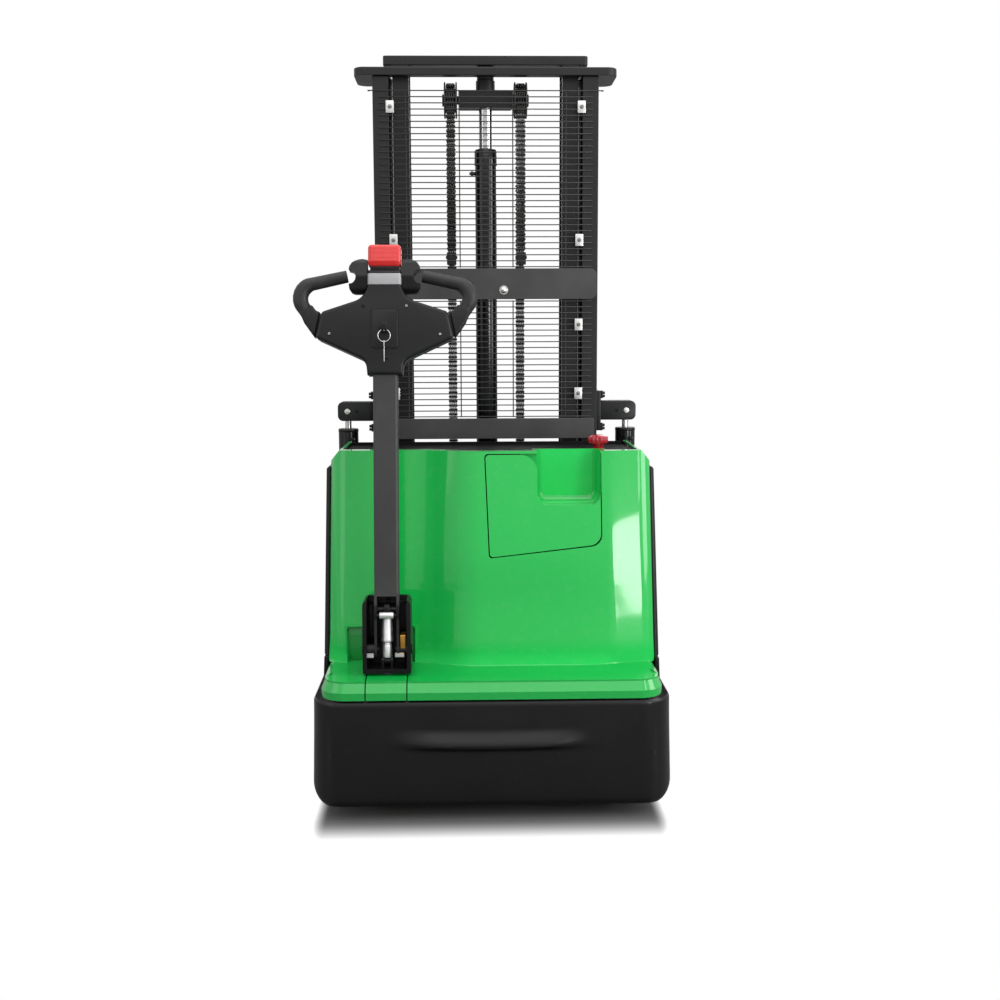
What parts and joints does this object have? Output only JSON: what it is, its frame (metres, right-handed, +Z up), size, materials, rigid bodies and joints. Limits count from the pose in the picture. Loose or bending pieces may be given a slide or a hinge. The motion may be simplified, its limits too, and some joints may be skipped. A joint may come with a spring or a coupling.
{
  "type": "initial lift stacker",
  "caption": "Pedestrian electric stacker with tiller, meshed lift mast, hollow forks over support legs and an initial lift that raises mast and legs together.",
  "frame": {"origin": "floor level at the middle of the bounding box", "axes": "+Y along the forks towards their tips, +Z up, +X to the right of an operator standing at -Y"},
  "size_m": [0.9184, 2.07, 1.92],
  "materials": {
    "green_cover": "gloss moulded cover",
    "black_plastic": "fine grain",
    "grip_rubber": "soft touch",
    "mast_paint": "satin black",
    "arm_paint": "satin dark grey",
    "bright_steel": "zinc plated",
    "hard_chrome": "polished",
    "chain_steel": "oiled",
    "wire": "black coated wire",
    "cast_iron": "as cast",
    "tread": "polyurethane tread",
    "red_button": "gloss",
    "grey_control": "satin",
    "battery_case": "moulded",
    "pump_grey": "satin"
  },
  "bodies": {
    "chassis": {"chassis_frame": "mast_paint", "skirt": "black_plastic", "hood": "green_cover", "tiller_cover": "green_cover", "access_panel": "green_cover", "console_tray": "black_plastic", "side_panels": "black_plastic", "battery": "battery_case", "pump_unit": "pump_grey", "lift_barrels": "mast_paint"},
    "steer_unit": {"drive_housing": "cast_iron", "drive_motor": "cast_iron", "tiller_bracket": "arm_paint", "pivot_pins": "bright_steel"},
    "drive_wheel": {"drive_hub": "bright_steel", "drive_tyre": "tread"},
    "caster": {"caster_fork": "cast_iron"},
    "caster_wheel": {"caster_wheels": "tread"},
    "tiller": {"tiller_arm": "arm_paint", "head_lower_shell": "black_plastic", "head_upper_shell": "black_plastic", "grip_left": "grip_rubber", "grip_right": "grip_rubber"},
    "throttle": {"throttle_knobs": "grey_control"},
    "belly_button_body": {"belly_button": "red_button"},
    "key_body": {"key": "bright_steel"},
    "lift_rocker_body": {"lift_rocker": "grey_control"},
    "initial_rocker_body": {"initial_lift_rocker": "grey_control"},
    "spring_rod_body": {"spring_rod": "hard_chrome"},
    "spring_tube_body": {"spring_tube": "bright_steel"},
    "stop_knob_body": {"stop_knob": "red_button"},
    "load_frame": {"mast_rails": "mast_paint", "mast_tie": "mast_paint", "mast_foot": "mast_paint", "lower_crossbar": "mast_paint", "guard_bar": "mast_paint", "mesh_guard": "wire", "mesh_clips": "bright_steel", "support_leg_left": "mast_paint", "support_leg_right": "mast_paint", "lift_brackets": "mast_paint", "lift_rods": "hard_chrome", "lift_cylinder": "mast_paint", "chain_anchors": "bright_steel", "chains_rear": "chain_steel"},
    "arm_left": {"wheel_arm_left": "mast_paint"},
    "arm_right": {"wheel_arm_right": "mast_paint"},
    "wheel_left": {"load_wheel_left": "tread"},
    "wheel_right": {"load_wheel_right": "tread"},
    "rods": {"push_rods": "bright_steel"},
    "inner_mast": {"inner_rails": "mast_paint", "inner_top": "mast_paint", "piston_rod": "hard_chrome", "crosshead": "mast_paint", "chain_wraps": "chain_steel", "chains_front": "chain_steel"},
    "sheave_left": {"pulley_left": "cast_iron"},
    "sheave_right": {"pulley_right": "cast_iron"},
    "carriage": {"carriage_frame": "mast_paint", "forks": "mast_paint"}
  },
  "joints": [
    {"name": "steer", "type": "hinge", "parent": "chassis", "child": "steer_unit", "pos_m": [-0.235, -0.91, 0.3], "axis": [0, 0, 1], "range_deg": [-90, 90]},
    {"name": "drive_wheel_spin", "type": "hinge", "parent": "steer_unit", "child": "drive_wheel", "pos_m": [-0.235, -0.888, 0.105], "axis": [1, 0, 0], "continuous": true},
    {"name": "caster_swivel", "type": "hinge", "parent": "chassis", "child": "caster", "pos_m": [0.275, -0.885, 0.23], "axis": [0, 0, 1], "continuous": true},
    {"name": "caster_wheel_spin", "type": "hinge", "parent": "caster", "child": "caster_wheel", "pos_m": [0.275, -0.843, 0.075], "axis": [1, 0, 0], "continuous": true},
    {"name": "tiller_tilt", "type": "hinge", "parent": "steer_unit", "child": "tiller", "pos_m": [-0.235, -0.94, 0.405], "axis": [1, 0, 0], "range_deg": [0, 80], "stiffness_Nm_per_rad": 26, "springref_deg": -34.38},
    {"name": "spring_swing", "type": "hinge", "parent": "steer_unit", "child": "spring_rod_body", "pos_m": [-0.235, -0.94, 0.377], "axis": [1, 0, 0], "range_deg": [0, 66]},
    {"name": "spring_stroke", "type": "slide", "parent": "spring_rod_body", "child": "spring_tube_body", "axis": [0, 0.1084, 0.9941], "range_m": [-0.0165, 0.001]},
    {"name": "throttle_turn", "type": "hinge", "parent": "tiller", "child": "throttle", "pos_m": [-0.235, -0.81419, 1.3002], "axis": [1, 0, 0], "range_deg": [-35, 35], "stiffness_Nm_per_rad": 1.2},
    {"name": "belly_press", "type": "slide", "parent": "tiller", "child": "belly_button_body", "axis": [0, -0.1392, -0.9903], "range_m": [0, 0.008], "stiffness_N_per_m": 900},
    {"name": "key_turn", "type": "hinge", "parent": "tiller", "child": "key_body", "pos_m": [-0.235, -0.86327, 1.18087], "axis": [0, 0.9903, -0.1392], "range_deg": [0, 90]},
    {"name": "lift_rocker_tip", "type": "hinge", "parent": "tiller", "child": "lift_rocker_body", "pos_m": [-0.252, -0.80972, 1.20263], "axis": [1, 0, 0], "range_deg": [-8, 8], "stiffness_Nm_per_rad": 0.5},
    {"name": "initial_rocker_tip", "type": "hinge", "parent": "tiller", "child": "initial_rocker_body", "pos_m": [-0.218, -0.80972, 1.20263], "axis": [1, 0, 0], "range_deg": [-8, 8], "stiffness_Nm_per_rad": 0.5},
    {"name": "stop_press", "type": "slide", "parent": "chassis", "child": "stop_knob_body", "axis": [0, 0, -1], "range_m": [0, 0.007]},
    {"name": "initial_lift", "type": "slide", "parent": "chassis", "child": "load_frame", "axis": [0, 0, 1], "range_m": [0, 0.11]},
    {"name": "wheel_arm_left_swing", "type": "hinge", "parent": "load_frame", "child": "arm_left", "pos_m": [-0.175, 0.665, 0.039], "axis": [-1, 0, 0], "range_deg": [0, 38]},
    {"name": "load_wheel_left_spin", "type": "hinge", "parent": "arm_left", "child": "wheel_left", "pos_m": [-0.175, 0.845, 0.039], "axis": [1, 0, 0], "continuous": true},
    {"name": "wheel_arm_right_swing", "type": "hinge", "parent": "load_frame", "child": "arm_right", "pos_m": [0.215, 0.665, 0.039], "axis": [-1, 0, 0], "range_deg": [0, 38]},
    {"name": "load_wheel_right_spin", "type": "hinge", "parent": "arm_right", "child": "wheel_right", "pos_m": [0.215, 0.845, 0.039], "axis": [1, 0, 0], "continuous": true},
    {"name": "push_rod_stroke", "type": "slide", "parent": "load_frame", "child": "rods", "axis": [0, 1, 0], "range_m": [0, 0.0125]},
    {"name": "mast_lift", "type": "slide", "parent": "load_frame", "child": "inner_mast", "axis": [0, 0, 1], "range_m": [0, 1.4], "deforming": ["chains_rear"]},
    {"name": "carriage_lift", "type": "slide", "parent": "inner_mast", "child": "carriage", "axis": [0, 0, 1], "range_m": [0, 1.4], "deforming": ["chains_front"]},
    {"name": "pulley_left_spin", "type": "hinge", "parent": "inner_mast", "child": "sheave_left", "pos_m": [-0.077, -0.337, 1.811], "axis": [1, 0, 0], "continuous": true},
    {"name": "pulley_right_spin", "type": "hinge", "parent": "inner_mast", "child": "sheave_right", "pos_m": [0.117, -0.337, 1.811], "axis": [1, 0, 0], "continuous": true}
  ],
  "couplings": [
    {"joint": "spring_swing", "follows": "tiller_tilt", "ratio": 0.80257},
    {"joint": "spring_stroke", "follows": "tiller_tilt", "m_per_rad": -0.01136},
    {"joint": "wheel_arm_left_swing", "follows": "initial_lift", "rad_per_m": 5.9769},
    {"joint": "wheel_arm_right_swing", "follows": "initial_lift", "rad_per_m": 5.9769},
    {"joint": "push_rod_stroke", "follows": "initial_lift", "ratio": 0.11111},
    {"joint": "carriage_lift", "follows": "mast_lift", "ratio": 1},
    {"joint": "pulley_left_spin", "follows": "mast_lift", "rad_per_m": 24.691},
    {"joint": "pulley_right_spin", "follows": "mast_lift", "rad_per_m": 24.691}
  ]
}
